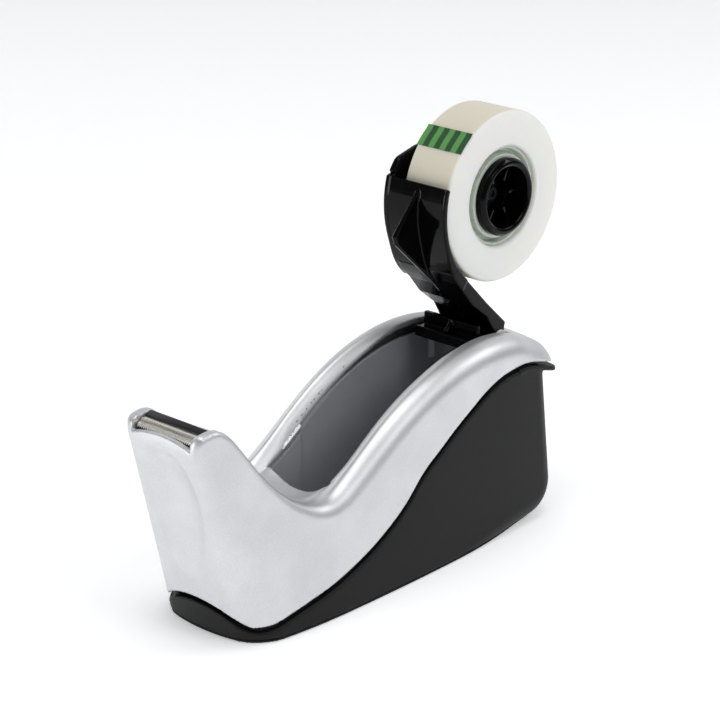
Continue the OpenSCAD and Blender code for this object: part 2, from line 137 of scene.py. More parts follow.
def grained(name, tints, lump_mm, rough, relief_mm, stretch=(1, 1, 1), **settings):
    """A whole finish from one random pattern with lumps of lump_mm. The pattern moves the colour
    between two tints, spreads the roughness between two values and raises relief_mm of relief."""
    made, tree, shader, place = material(name, **settings)
    along = add(tree, "Mapping", {"Vector": place, "Scale": stretch}).outputs["Vector"]
    lumps = add(tree, "TexNoise", {"Vector": along, "Scale": 1 / (lump_mm * MM), "Detail": 3.0})
    share = add(tree, "MapRange", {"Value": lumps.outputs["Fac"], "From Min": 0.3, "From Max": 0.7})
    tint = add(tree, "Mix", {0: share.outputs["Result"], 6: colour(tints[0]), 7: colour(tints[1])},
               data_type="RGBA")
    gloss = add(tree, "MapRange", {"Value": share.outputs["Result"], "To Min": rough[0],
                                   "To Max": rough[1]})
    bump = add(tree, "Bump", {"Height": lumps.outputs["Fac"], "Distance": relief_mm * MM})
    link_looks(tree, shader, Base_Color=tint.outputs[2], Roughness=gloss.outputs["Result"],
               Normal=bump.outputs["Normal"])
    return made


print("mid grey is", [round(c, 3) for c in colour("#808080")[:3]])

# %% [markdown]
# ## Finish: metallic paint on the cover
# The cover is moulded ABS sprayed with a silver lacquer. The lacquer holds aluminium flakes of
# about 0.05 mm, too small to see one by one, so the speckle is drawn at 0.45 mm. A clear binder
# lies between them, so the paint is part metallic, under a thin satin coat, and its wide soft
# highlight turns near white where the shell bends. A slow cloud of 14 mm lies over the speckle,
# since a spray gun never lays flakes quite evenly.

# %% Silver lacquer
silver_lacquer, tree, shader, place = material(
    "silver_lacquer_on_abs", Metallic=0.78, IOR=1.5, **{"Coat Weight": 0.1, "Coat Roughness": 0.25})
flakes = add(tree, "TexNoise", {"Vector": place, "Scale": 1 / (0.45 * MM)}).outputs["Fac"]
clouds = add(tree, "TexNoise", {"Vector": place, "Scale": 1 / (14 * MM)}).outputs["Fac"]
both = add(tree, "Math", {0: flakes, 1: clouds}, operation="ADD").outputs["Value"]
level = add(tree, "MapRange", {"Value": both, "From Min": 0.7, "From Max": 1.3}).outputs["Result"]
tint = add(tree, "Mix", {0: level, 6: colour("#D4D5D7"), 7: colour("#E2E3E5")}, data_type="RGBA")
gloss = add(tree, "MapRange", {"Value": flakes, "To Min": 0.4, "To Max": 0.5})
bump = add(tree, "Bump", {"Height": flakes, "Distance": 0.012 * MM})
link_looks(tree, shader, Base_Color=tint.outputs[2], Roughness=gloss.outputs["Result"],
           Normal=bump.outputs["Normal"])
print("made", silver_lacquer.name)

# %% [markdown]
# ## Finish: textured and polished black ABS
# The base is ABS moulded against a spark-eroded tool, which leaves a fine matt skin with grains
# of about 0.3 mm. The arm and the hub come from a polished tool: the same plastic, but nearly
# as smooth as glass, so they show the lights as crisp shapes. Moulded parts are never quite
# flat, so a faint ripple of 6 mm bends those reflections.

# %% Black ABS, two surfaces
textured_black = grained("spark_eroded_black_abs", ("#0F0F10", "#161617"), 0.32, (0.44, 0.6), 0.03,
                         IOR=1.53, **{"Specular IOR Level": 0.2})
polished_black = grained("polished_black_abs", ("#030304", "#060607"), 6, (0.07, 0.13), 0.03,
                         IOR=1.53, **{"Specular IOR Level": 0.13})
print("made", textured_black.name, polished_black.name)

# %% [markdown]
# ## Finish: the grey well
# The well is a separate moulding in mid grey ABS with a satin skin. It is duller than the cover
# and soaks up light towards its floor. Light scuffs from years of rolls run along it, so the
# colour and the roughness vary in long thin streaks: the pattern is stretched along Y.

# %% Grey satin ABS
satin_grey = grained("satin_grey_abs", ("#A3A5A9", "#A9ABB0"), 1.1, (0.36, 0.52), 0.008,
                     stretch=(1, 0.3, 1), IOR=1.53)
print("made", satin_grey.name)

# %% [markdown]
# ## Finish: steels
# The blade is cold-rolled stainless strip, ground along its length: thin lines 0.08 mm apart,
# drawn at 0.25 mm so that they show. The pin and the housing screws are zinc-plated steel, which
# is greyer and mottled by its crystals of about 0.7 mm. The axle's screw and washer are blackened,
# so they vanish in the hub. The two weights are plain sheared steel bars with a dark mill skin. A
# metal keeps the shader's own IOR, and its base colour is its reflection.

# %% Steel finishes
blade_steel = grained("ground_stainless_strip", ("#ECE7DA", "#FAF7EE"), 0.25, (0.24, 0.34), 0.002,
                      stretch=(0.03, 1, 1), Metallic=1.0)
zinc_plate = grained("zinc_plated_steel", ("#9CA0A4", "#B2B5B8"), 0.7, (0.26, 0.42), 0.004,
                     Metallic=1.0)
mill_steel = grained("mill_finish_steel_bar", ("#5C5F63", "#85888B"), 2.2, (0.4, 0.62), 0.04,
                     stretch=(1, 0.2, 1), Metallic=1.0)
blackened_steel = grained("blackened_steel", ("#18181A", "#232427"), 0.7, (0.3, 0.45), 0.004,
                          Metallic=1.0)
print("made", blade_steel.name, zinc_plate.name, mill_steel.name, blackened_steel.name)

# %% [markdown]
# ## Finish: the roll of tape
# Invisible tape is cellulose acetate film, matt on its back and milky when wound up. Each layer
# is 0.06 mm thick; the rings on the side of the roll are drawn 0.5 mm apart so that they show.
# The rings come from a pattern that depends only on the distance from the axle. Light enters the
# film and scatters. The last turns, which form the tread, get a darker warm tint: painted shade
# over the film's own warm tone.

# %% Tape
matt_film, tree, shader, place = material(
    "matt_acetate_film", IOR=1.48, **glow_through(0.4, 0.005, 0.0035, 0.002))
from_axle = add(tree, "VectorMath", {0: place, 1: (0, ROLL_Y * MM, ROLL_Z * MM)},
                operation="SUBTRACT")
flat = add(tree, "VectorMath", {0: from_axle.outputs["Vector"], 1: (0, 1, 1)}, operation="MULTIPLY")
radius = add(tree, "VectorMath", {0: flat.outputs["Vector"]}, operation="LENGTH").outputs["Value"]
layer = add(tree, "CombineXYZ", {"X": radius}).outputs["Vector"]
rings = add(tree, "TexNoise", {"Vector": layer, "Scale": 1 / (0.5 * MM)}).outputs["Fac"]
milky = add(tree, "Mix", {0: rings, 6: colour("#F3F2EC"), 7: colour("#FAFAF7")}, data_type="RGBA")
# Painted shade: the last turns, the tread, are mixed to a darker warm tint over the film's warm
# tone.
tread_shade_share = add(tree, "MapRange", {"Value": radius, "From Min": 28.8 * MM, "From Max": 29.2 * MM})
film_with_tread_shade = add(tree, "Mix", {0: tread_shade_share.outputs["Result"], 6: milky.outputs[2],
                         7: colour("#E4DECC")}, data_type="RGBA")
gloss = add(tree, "MapRange", {"Value": rings, "To Min": 0.38, "To Max": 0.5})
bump = add(tree, "Bump", {"Height": rings, "Distance": 0.006 * MM})
link_looks(tree, shader, Base_Color=film_with_tread_shade.outputs[2], Roughness=gloss.outputs["Result"],
           Normal=bump.outputs["Normal"])
print("made", matt_film.name)

# %% [markdown]
# ## Finish: core and starting tab
# The core is pale polystyrene, slightly green and translucent, with faint flow lines from the
# mould. The starting tab is film printed with plain stripes in two greens: half of each 4.75 mm
# is light and half is dark. The remainder of a division finds the place within a stripe.

# %% Core and tab
pale_styrene = grained("pale_moulded_polystyrene", ("#CFD8CB", "#DFE5DC"), 2.5, (0.24, 0.38), 0.004,
                       stretch=(0.3, 1, 1), IOR=1.59, **glow_through(0.2, 0.002, 0.002, 0.002))
striped_film, tree, shader, place = material("printed_green_film", IOR=1.49)
from_middle = add(tree, "SeparateXYZ", {"Vector": place}).outputs["X"]
stripes = add(tree, "Math", {0: from_middle, 1: 1 / (4.75 * MM)}, operation="MULTIPLY")
stripe = add(tree, "Math", {0: stripes.outputs["Value"]}, operation="FRACT").outputs["Value"]
edge = add(tree, "MapRange", {"Value": stripe, "From Min": 0.47, "From Max": 0.53})
ink = add(tree, "TexNoise", {"Vector": place, "Scale": 1 / (0.4 * MM)}).outputs["Fac"]
light_ink = add(tree, "Mix", {0: ink, 6: colour("#55924A"), 7: colour("#6AA65B")}, data_type="RGBA")
dark_ink = add(tree, "Mix", {0: ink, 6: colour("#22492A"), 7: colour("#315E38")}, data_type="RGBA")
print_out = add(tree, "Mix", {0: edge.outputs["Result"], 6: light_ink.outputs[2],
                              7: dark_ink.outputs[2]}, data_type="RGBA")
gloss = add(tree, "MapRange", {"Value": ink, "To Min": 0.28, "To Max": 0.44})
link_looks(tree, shader, Base_Color=print_out.outputs[2], Roughness=gloss.outputs["Result"])
print("made", pale_styrene.name, striped_film.name)

# %% [markdown]
# ## Finish: pad, bushes and the black insert
# The foot is a sheet of closed-cell foam that grips the desk, with cells of about 0.6 mm. The
# bushes are natural nylon, a waxy off-white. Behind the blade lies a small black strip with a
# dull tacky skin, which holds the end of the tape.

# %% Foam, nylon and the tape strip
cell_foam = grained("closed_cell_foam", ("#0F0F10", "#1B1B1C"), 0.6, (0.82, 0.95), 0.08, IOR=1.45)
natural_nylon = grained("natural_nylon", ("#DDD8C8", "#E9E5D8"), 1.4, (0.34, 0.46), 0.005, IOR=1.53,
                        **glow_through(0.3, 0.002, 0.002, 0.001))
dull_strip = grained("dull_black_insert", ("#0B0B0C", "#19191A"), 0.25, (0.34, 0.52), 0.02, IOR=1.5)
print("made", cell_foam.name, natural_nylon.name, dull_strip.name)

# %% [markdown]
# ## Floor and light
# The floor and the far wall are one pale sheet that curves up behind the object, so no horizon
# shows. It glows a little, as a lit paper roll does, which fills the undersides with light. Five
# large soft lamps do the work of a studio: the main one at the right brightens the long side and
# the roll, one behind draws the bright line along the rims, one overhead lights the well, and
# those at the front and the left keep the face and the black side from closing up.

# %% Stage
sweep = grained("pale_paper_sweep", ("#F6F7F8", "#FAFAFB"), 2, (0.7, 0.8), 0.02, IOR=1.45,
                **{"Emission Color": colour("#FFFFFF"), "Emission Strength": 0.34})


def pale_sweep(half_width=3.0, front=-3.0, bend_start=1.2, bend=1.0, height=3.0, steps=24):
    """Floor and wall in one strip, drawn as a line of (y, z) places and widened along X."""
    line = [(front, 0), (bend_start, 0)]
    for i in range(1, steps + 1):
        turn = math.pi / 2 * i / steps
        line.append((bend_start + bend * math.sin(turn), bend * (1 - math.cos(turn))))
    line.append((bend_start + bend, height))
    points = [(x, y, z) for y, z in line for x in (-half_width, half_width)]
    faces = [(i, i + 1, i + 3, i + 2) for i in range(0, len(points) - 2, 2)]
    mesh = bpy.data.meshes.new("sweep")
    mesh.from_pydata(points, [], faces)
    mesh.shade_smooth()
    return bpy.data.objects.new("sweep", mesh)


floor = pale_sweep()
floor.rotation_euler.z = math.radians(AZIMUTH)
floor.data.materials.append(sweep)
bpy.context.scene.collection.objects.link(floor)
print("floor", len(floor.data.polygons), "strips")


# %% Lamps
CENTRE = (0, 0, 0.06)


def soft_lamp(name, place, size, power):
    """A white lamp of a width and a height in metres that faces the middle of the object."""
    lamp = bpy.data.objects.new(name, bpy.data.lights.new(name, "AREA"))
    lamp.data.shape, lamp.data.size, lamp.data.size_y = "RECTANGLE", size[0], size[1]
    lamp.data.energy = power
    lamp.location = place
    aim = [to - at for to, at in zip(CENTRE, place)]
    lamp.rotation_euler = Vector(aim).to_track_quat("-Z", "Y").to_euler()
    bpy.context.scene.collection.objects.link(lamp)


for lamp in (("main", (1, 0.1, 0.85), (0.5, 0.5), 2.5),
             ("behind", (0.5, 0.85, 0.85), (0.6, 0.4), 2.8),
             ("overhead", (0.1, -0.15, 1.15), (0.7, 0.6), 4.6),
             ("front", (-0.45, -1.1, 0.2), (0.5, 0.4), 3.2),
             ("left", (-1, 0, 0.5), (0.5, 0.5), 0.8)):
    soft_lamp(*lamp)
world = bpy.data.worlds.new("studio")
bpy.context.scene.world = world
world.use_nodes = True
sky = world.node_tree.nodes["Background"].inputs
sky["Color"].default_value, sky["Strength"].default_value = colour("#F2F4F8"), 0.2
bpy.context.scene.view_settings.view_transform = "Standard"
print("lamps", len(bpy.data.lights))

# %% [markdown]
# ## How the shells are shaped
# The cover and the base are free curves with rounded edges everywhere: a hard job for boxes and
# bevels. They are described instead by a rule that says, for each point in space, how far it is
# from the surface, and negative inside. Two rules are joined or cut with a small formula that
# also rounds the edge between them. A mesh is then drawn where the rule is zero. Each point of
# the mesh is slid along the slope of the rule until it lies on the surface, and the slope also
# gives the exact direction that the surface faces, so reflections run smoothly.


# %% Rules: cut and join
def cut_to(a, b, r):
    """What is inside both rules, with an edge of radius r."""
    return np.minimum(-r, np.maximum(a, b)) + np.hypot(np.maximum(r + a, 0), np.maximum(r + b, 0))


def join(a, b, r):
    """What is inside either rule, with a fillet of radius r between them."""
    return -cut_to(-a, -b, r)


print("an edge cut with radius 2 moves in by", round(float(cut_to(0, 0, 2)), 2), "mm")


# %% Smooth curves
def curve_through(points):
    """A smooth curve through (place, value) points, level beyond its ends."""
    px, py = np.array(points, float).T
    gap = np.diff(px)
    rows, right = np.eye(len(px)), np.zeros(len(px))
    for i in range(1, len(px) - 1):
        rows[i, i - 1:i + 2] = gap[i - 1], 2 * (gap[i - 1] + gap[i]), gap[i]
        right[i] = 6 * ((py[i + 1] - py[i]) / gap[i] - (py[i] - py[i - 1]) / gap[i - 1])
    bend = np.linalg.solve(rows, right)

    def value(at):
        at = np.clip(at, px[0], px[-1])
        i = np.clip(np.searchsorted(px, at) - 1, 0, len(px) - 2)
        before, after, h = at - px[i], px[i + 1] - at, gap[i]
        return ((bend[i] * after ** 3 + bend[i + 1] * before ** 3) / (6 * h)
                + (py[i] / h - bend[i] * h / 6) * after
                + (py[i + 1] / h - bend[i + 1] * h / 6) * before)
    return value


def slope(curve, at):
    """How steep a curve is, from the values a quarter of a millimetre to each side."""
    return (curve(at + 0.25) - curve(at - 0.25)) / 0.5


def fade(value, start, end):
    """0 before start, 1 after end, and smooth between."""
    t = np.clip((value - start) / (end - start), 0, 1)
    return t * t * (3 - 2 * t)


print("fade from 0 to 4 at 1, 2 and 3:", fade(np.array([1, 2, 3]), 0, 4).round(2).tolist())


# %% Rule for a drawn outline
def outline(points):
    """Distance from a closed outline of (y, z) places, negative inside."""
    starts = np.array(points, float)
    ends = np.roll(starts, -1, 0)

    def distance(y, z):
        y, z = np.broadcast_arrays(y, z)
        near, inside = np.full(y.shape, 1e9), np.zeros(y.shape, bool)
        for (ay, az), (by, bz) in zip(starts, ends):
            ey, ez = by - ay, bz - az
            t = np.clip(((y - ay) * ey + (z - az) * ez) / (ey * ey + ez * ez), 0, 1)
            near = np.minimum(near, (y - ay - t * ey) ** 2 + (z - az - t * ez) ** 2)
            if ez:
                inside ^= ((az > z) != (bz > z)) & (y < ay + ey * (z - az) / ez)
        return np.where(inside, -1, 1) * np.sqrt(near)
    return distance


def arc(centre, radius, start, end, steps):
    """Places along an arc, with its start and end in degrees from +Y."""
    turns = np.radians(np.linspace(start, end, steps + 1))
    return [(centre[0] + radius * math.cos(t), centre[1] + radius * math.sin(t)) for t in turns]


NEARLY_STRAIGHT = math.radians(85)


def rounded(points, radius, steps=5):
    """A closed outline with each corner replaced by an arc as large as its sides allow."""
    made = []
    for i, corner in enumerate(points):
        before, corner, after = (np.array(p, float) for p in
                                 (points[i - 1], corner, points[(i + 1) % len(points)]))
        a, b = before - corner, after - corner
        la, lb = np.linalg.norm(a), np.linalg.norm(b)
        half = math.acos(np.clip(a @ b / la / lb, -1, 1)) / 2
        if half > NEARLY_STRAIGHT:
            made.append(tuple(corner))
            continue
        back = min(radius / math.tan(half), 0.45 * la, 0.45 * lb)
        p, q = corner + a / la * back, corner + b / lb * back
        for t in np.linspace(0, 1, steps + 1):
            made.append(tuple((1 - t) ** 2 * p + 2 * t * (1 - t) * corner + t * t * q))
    return made


SQUARE = [(0, 0), (10, 0), (10, 10), (0, 10)]
print("middle of a 10 mm square:", float(outline(SQUARE)(5, 5)), "mm")


# %% Find where a surface crosses the grid
CORNERS = np.array(list(itertools.product((0, 1), repeat=3)))


def cells_of(values):
    """The cells that the surface crosses, and one point in each, at the middle of its crossings."""
    inside = values < 0
    shape = [n - 1 for n in values.shape]
    counts = sum(inside[tuple(slice(c, c + n) for c, n in zip(corner, shape))].astype(np.int8)
                 for corner in CORNERS)
    cells = np.argwhere((counts > 0) & (counts < 8))
    total, crossings = np.zeros(cells.shape), np.zeros(len(cells))
    for start in CORNERS:
        for axis in np.flatnonzero(start == 0):
            step = np.eye(3, dtype=int)[axis]
            a = values[tuple((cells + start).T)]
            b = values[tuple((cells + start + step).T)]
            crossed = (a < 0) != (b < 0)
            share = np.where(crossed, a / np.where(crossed, a - b, 1), 0)
            total += np.where(crossed[:, None], start + share[:, None] * step, 0)
            crossings += crossed
    return cells, cells + total / crossings[:, None]


def quads_of(values, cells):
    """One four-sided face for each grid line that the surface crosses."""
    index = np.full([n - 1 for n in values.shape], -1, np.int32)
    index[tuple(cells.T)] = np.arange(len(cells))
    inside, faces = values < 0, []
    for axis in range(3):
        u, v = (np.eye(3, dtype=int)[(axis + k) % 3] for k in (1, 2))
        ahead = np.eye(3, dtype=int)[axis]
        here = np.argwhere(np.diff(inside.astype(np.int8), axis=axis) != 0)
        here = here[((here >= u + v).all(1)) & ((here + u + v) < values.shape).all(1)]
        ring = np.stack([index[tuple((here - back).T)] for back in (u + v, v, 0 * v, u)], 1)
        outward = inside[tuple(here.T)] & ~inside[tuple((here + ahead).T)]
        faces.append(np.where(outward[:, None], ring, ring[:, ::-1]))
    return np.concatenate(faces)


print("a grid cell has", len(CORNERS), "corners")


# %% Draw the skin of a rule
def gradient(rule, points, reach=0.02):
    """The slope of a rule at each point."""
    return np.stack([(rule(*(points + d).T) - rule(*(points - d).T)) / (2 * reach)
                     for d in np.eye(3) * reach], 1)


def skin(rule, low, high, step):
    """Points in mm, faces and facing directions of the surface where a rule is zero."""
    lines = [np.arange(a - 2 * step, b + 3 * step, step) for a, b in zip(low, high)]
    values = np.array(np.broadcast_to(rule(*np.meshgrid(*lines, indexing="ij", sparse=True)),
                                      [len(n) for n in lines]), np.float32)
    cells, points = cells_of(values)
    points = np.array([n[0] for n in lines]) + points * step
    for _ in range(4):
        lean = gradient(rule, points)
        size = np.maximum((lean ** 2).sum(1), 0.3)
        move = rule(*points.T) / size
        points -= np.clip(move, -0.5 * step, 0.5 * step)[:, None] * lean
    lean = gradient(rule, points)
    lean /= np.maximum(np.linalg.norm(lean, axis=1), 1e-9)[:, None]
    return points, quads_of(values, cells), lean


def ball(x, y, z):
    return np.sqrt(x * x + y * y + z * z) - 5


points, faces, facing = skin(ball, (-5, -5, -5), (5, 5, 5), 1)
print("test ball: at most", round(float(np.abs(ball(*points.T)).max()), 4), "mm off its radius")


# %% Put a piece in the scene
def piece(name, points, faces, finish, body, stands_for, facing=None, crease=None):
    """A mesh from points in mm, riding on a body. Its faces are smooth; crease is the angle in
    degrees above which an edge stays sharp, and facing gives exact directions instead."""
    mesh = bpy.data.meshes.new(name)
    mesh.from_pydata(np.asarray(points) * MM, [], np.asarray(faces).tolist()
                     if isinstance(faces, np.ndarray) else faces)
    mesh.validate()
    if facing is None:
        shape = bmesh.new()
        shape.from_mesh(mesh)
        bmesh.ops.remove_doubles(shape, verts=shape.verts, dist=1e-7)
        bmesh.ops.recalc_face_normals(shape, faces=shape.faces)
        shape.to_mesh(mesh)
        shape.free()
    mesh.shade_smooth()
    if crease:
        mesh.set_sharp_from_angle(angle=math.radians(crease))
    if facing is not None:
        mesh.normals_split_custom_set_from_vertices(facing.tolist())
    made = bpy.data.objects.new(name, mesh)
    mesh.materials.append(finish)
    bpy.context.scene.collection.objects.link(made)
    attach(made, body)
    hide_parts(*stands_for)
    print(name, len(mesh.polygons), "faces")
    return made


print("ready for", len(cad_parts), "frame nodes")

# %% [markdown]
# ## The silver cover
# Seen from the side, the cover is a swooping line: up over the nose, down into a valley, and up
# over the hump that holds the roll. Seen from above it is a long rounded shape, narrower at the
# top. Both are drawn as curves through measured places, and the body is what lies inside all of
# them. The rim round the well is a rounded band, the valley is part of a large ring, and a
# shallow hollow in the nose leaves room for a thumb.

# %% Outlines of the body
crest = curve_through([
    (-84, 69), (-82.6, 72), (-78.5, 74.7), (-73.5, 74.6), (-68, 70.6), (-60, 59.4), (-50, 47.5),
    (-40, 40.6), (-30, 38.8), (-20, 44), (0, 57.3), (20, 66.4), (41, 70.6), (60, 69.4), (72, 66),
    (81, 61.2), (85.2, 57)])
low_half = curve_through([
    (-85, 20.6), (-70, 22), (-55, 24), (-40, 25.7), (-20, 26.4), (-3, 26.5), (30, 26), (62, 25.2),
    (85, 24)])
high_half = curve_through([
    (-84, 16.2), (-60, 17.4), (-30, 20), (-10, 22), (10, 23.6), (30, 24.3), (50, 24), (70, 22.8),
    (85, 21.3)])
seam = curve_through([
    (-90, 5.7), (-66, 5.7), (-61.7, 5.6), (-58, 6), (-51.3, 7.4), (-42.9, 9.4), (-34, 11.5),
    (-24.6, 14.5), (-15.1, 18.4), (-5.3, 23.8), (2.7, 29.7), (9.3, 36), (18, 42), (24.6, 46.3),
    (32, 50.6), (37, 53.3), (42.4, 56), (49.2, 58.4), (57, 59.5), (65, 59.4), (71.5, 57.9),
    (79, 55.6), (90, 52.6)])
print("top of the hump", round(float(crest(41)), 1), "mm up")

# %% Sides and leaning face
NOSE_TOP, FACE_LEAN, FACE_FOOT = 75, 17.6, -66.8
TAIL, TAIL_R = 85, 6
SIDE_LEAN, FRONT_LEAN, EDGE_FOOT, EDGE_TOP = 0.985, 0.974, 8.5, 4


def half_width(y, z):
    """Half the body's width, from its foot to the height of the nose."""
    share = z / NOSE_TOP
    return low_half(y) * (1 - share) + high_half(y) * share


scoop_width = curve_through([
    (10, -60), (20, 0), (24, 33), (30, 78), (36, 110), (42, 134), (48, 146), (53, 140), (58, 112),
    (63, 66), (68, 0), (74, -60)])
SCOOP_WIDEST, SCOOP_DEEP, SCOOP_EDGE = 146, 4, 0.14


def scoop(x, z):
    """Depth of the thumb hollow: x where it ends, squared, comes from scoop_width."""
    depth = SCOOP_DEEP * (scoop_width(z) - x * x) / SCOOP_WIDEST
    return SCOOP_EDGE * np.logaddexp(0, np.clip(depth / SCOOP_EDGE, -30, 30))


def face(x, z):
    """The leaning front face, bowed at its foot and nearly flat at its top."""
    share = z / NOSE_TOP
    bow = 0.0085 * (1 - share) + 0.0012 * share
    return FACE_FOOT - FACE_LEAN * share + bow * x * x


def walls(x, y, z):
    """Two sides and the leaning face. A leaning surface is nearer than it looks along one
    axis, so each distance is made a little shorter."""
    side = (np.abs(x) - half_width(y, z)) * SIDE_LEAN
    front = (face(x, z) + scoop(x, z) - y) * FRONT_LEAN
    return cut_to(side, front, EDGE_FOOT + (EDGE_TOP - EDGE_FOOT) * fade(z, 0, NOSE_TOP))


print("widest at the foot", round(2 * float(half_width(0, 0)), 1), "mm")

# %% Sizes of the cover
MOUTH, MOUTH_LEFT, POCKET = 13, 14.2, 15.1
WELL_FRONT, WELL_BACK, POCKET_FRONT, POCKET_BACK = -22.49, 68.2, -5.93, 58
VALLEY_Y, VALLEY_Z, VALLEY_R, TROUGH_R = -28.37, 80.35, 46.5, 17.67
SEAT_FRONT, SEAT_BACK, SEAT_HALF, SEAT_FLOOR = -80.4, -75, 12.7, 66.8
RIM_X, COVER_WALL, SEAM_GAP, SEAM_SLOPE = 18.6, 2, 1.9, 0.9
rim_drop_right = curve_through([
    (-34, 1.5), (-21, 2.8), (-14.6, 3.9), (-8, 3.8), (2, 3.3), (14, 2.8), (22, 2.5), (31, 1.9),
    (39, 1.5), (48, 0.8), (61, 0.3), (72, 0)])
rim_drop_left = curve_through([
    (-34, 1.8), (-21, 4.4), (-14, 5.4), (-6, 5.5), (2, 5.2), (12, 4.5), (19, 4), (26, 3.2),
    (32, 2.2), (39, 1.4), (47, 1), (61, 0.4), (72, 0)])
print("well opening", MOUTH + POCKET, "x", round(WELL_BACK - WELL_FRONT, 1), "mm")


# %% The cover's body
def left_wall(y, start, end):
    """The well's left side, which steps out to a pocket for the arm's plate. The step lies
    between start and end, counted from the pocket's front."""
    return MOUTH_LEFT + (POCKET - MOUTH_LEFT) * fade(y, POCKET_FRONT + start, POCKET_FRONT + end)


def valley(x, y, z):
    """The dip behind the nose: a part of a large ring that lies round a high centre."""
    ring = np.hypot(y - VALLEY_Y, z - VALLEY_Z) - (VALLEY_R - TROUGH_R)
    return np.hypot(ring, x) - TROUGH_R


def cover_body(x, y, z):
    """The cover as if it were solid and had no openings."""
    left = left_wall(y, -12, -1)
    inner = np.where(x < 0, left, MOUTH)
    outer = np.where(x < 0, RIM_X + 0.4 * (left - MOUTH), RIM_X)
    across = np.clip((outer - np.abs(x)) / (outer - inner), 0, 1)
    drop = np.where(x < 0, rim_drop_left(y), rim_drop_right(y))
    crown = 0.0045 * x * x * fade(y, 60, 74)
    top = z - crest(y) + drop * across ** 2 + crown
    top = top / np.sqrt(1 + slope(crest, y) ** 2)
    edge = 2.6 + 4.4 * fade(y, -62, -5)
    back = cut_to(walls(x, y, z), y - TAIL, TAIL_R)
    behind_valley = 20 * fade(y, WELL_FRONT, -17)
    return cut_to(cut_to(back, top, edge), -valley(x, y, z) - behind_valley, 1.6)


print("cover's body at its middle:", round(float(cover_body(0, 0, 30)), 1), "mm")


# %% Openings in the cover
def well_mouth(x, y):
    """The opening seen from above, with a pocket on the left for the arm's side plate."""
    left = left_wall(y, -0.6, 0.6)
    left = left - (POCKET - MOUTH) * fade(y, POCKET_BACK - 0.6, POCKET_BACK + 0.6)
    sides = np.maximum(x - MOUTH, -x - left)
    return cut_to(sides, np.maximum(WELL_FRONT - y, y - WELL_BACK), 0.6)


def blade_seat(x, y, z):
    """The slot for the blade's holder, and the low bowed edge in front of it."""
    slot_space = np.maximum(np.abs(x) - SEAT_HALF, np.maximum(
        SEAT_FLOOR - z, np.maximum(SEAT_FRONT - y, y - SEAT_BACK)))
    lip = 70.8 - 0.011 * x * x
    over_face = np.maximum(np.abs(x) - SEAT_HALF, np.maximum(lip - z, y - SEAT_FRONT - 1))
    return join(slot_space, over_face, 0.4)


ARCH_R, ARCH_Z, ARCH_BACK = 28, -15.3, -60


def nose_arch(x, y, z, gap=0):
    """A round arch cut into the foot of the nose, where the black base shows."""
    return np.maximum(np.hypot(x, z - ARCH_Z) - ARCH_R + gap, y - ARCH_BACK)


print("arch in the nose reaches", round(ARCH_R + ARCH_Z, 1), "mm up")


# %% Draw the cover
def cover_rule(x, y, z):
    body = cover_body(x, y, z)
    shell = cut_to(body, -(body + COVER_WALL), 0.3)
    shell = cut_to(shell, -well_mouth(x, y), 0.45)
    boss = cut_to(body, np.maximum(np.maximum(np.abs(x) - SEAT_HALF - 2, SEAT_FLOOR - 2 - z),
                                   y - SEAT_BACK - 2), 0.5)
    shell = cut_to(join(shell, boss, 0.8), -blade_seat(x, y, z), 0.5)
    shell = cut_to(shell, -nose_arch(x, y, z), 0.5)
    return cut_to(shell, (seam(y) - z) * SEAM_SLOPE, 0.5)


points, faces, facing = skin(cover_rule, (-27, -85, 4), (27, 86, 76), 0.75)
piece("cover", points, faces, silver_lacquer, "housing", ["top_cover"], facing)

# %% [markdown]
# ## The black base
# The base carries on the same outline below the seam. A dark groove runs between the two: the
# base stops short of the silver, and a tongue set back inside closes the gap. The lower back
# edge is a large round heel, and a thin ledge sticks out under the silver tail. A foam pad under
# it follows the same outline, set in a little so that a thin line of shadow parts the two.

# %% The base's body
BACK_FOOT, BACK_LEAN, HEEL_R, CORNER_R, BASE_FOOT, BASE_WALL = 84, 0.092, 14, 9, 1.25, 4
TONGUE_H, LEDGE_Z, LEDGE_T, UNDER_CREST = 3, 2.3, 1.7, 2.2


def base_walls(x, y, z):
    """The sides, the face and the back, with the round heel between back and foot."""
    back = (y - BACK_FOOT + BACK_LEAN * z) * 0.99
    heel = cut_to(back, -z, HEEL_R) - CORNER_R * (1 - fade(y, 5, 75))
    return cut_to(walls(x, y, z), heel, CORNER_R)


def base_body(x, y, z):
    """The base as if it were solid, ending just under the cover's top."""
    return cut_to(base_walls(x, y, z), z - crest(y) + UNDER_CREST, 3)


print("base is solid at its middle:", bool(base_body(0, 20, 20) < 0))


# %% Draw the base
def base_rule(x, y, z):
    body = base_body(x, y, z)
    top = (z - seam(y) + SEAM_GAP) * SEAM_SLOPE
    arch = nose_arch(x, y, z, SEAM_GAP)
    band = cut_to(body, np.where(y < ARCH_BACK + 10, join(top, arch, 1.5), top), 0.7)
    tongue = cut_to(body + COVER_WALL + 0.15, (z - seam(y) - TONGUE_H) * SEAM_SLOPE, 0.4)
    under_tail = cut_to(walls(x, y, z), y - TAIL, TAIL_R)
    height = np.abs(z - seam(y) + LEDGE_Z) - LEDGE_T / 2
    ledge = cut_to(under_tail, np.maximum(height, 60 - y), 0.6)
    hollow = base_walls(x, y, z) + BASE_WALL
    shell = cut_to(join(join(band, tongue, 0.3), ledge, 0.5), -hollow, 0.4)
    return cut_to(shell, BASE_FOOT - z, 0.4)


points, faces, facing = skin(base_rule, (-27.4, -80, 0), (27.4, 86, 66), 0.75)
piece("base", points, faces, textured_black, "housing", ["lower_housing"],
      facing)

# %% Foot pad
PAD_T, PAD_INSET = 1.2, 0.35


def pad_rule(x, y, z):
    """A flat pad cut to the outline that the base has just above the table."""
    foot_line = base_body(x, y, 0 * z + BASE_FOOT) + PAD_INSET
    return cut_to(foot_line, np.abs(z - PAD_T / 2) - PAD_T / 2, 0.2)


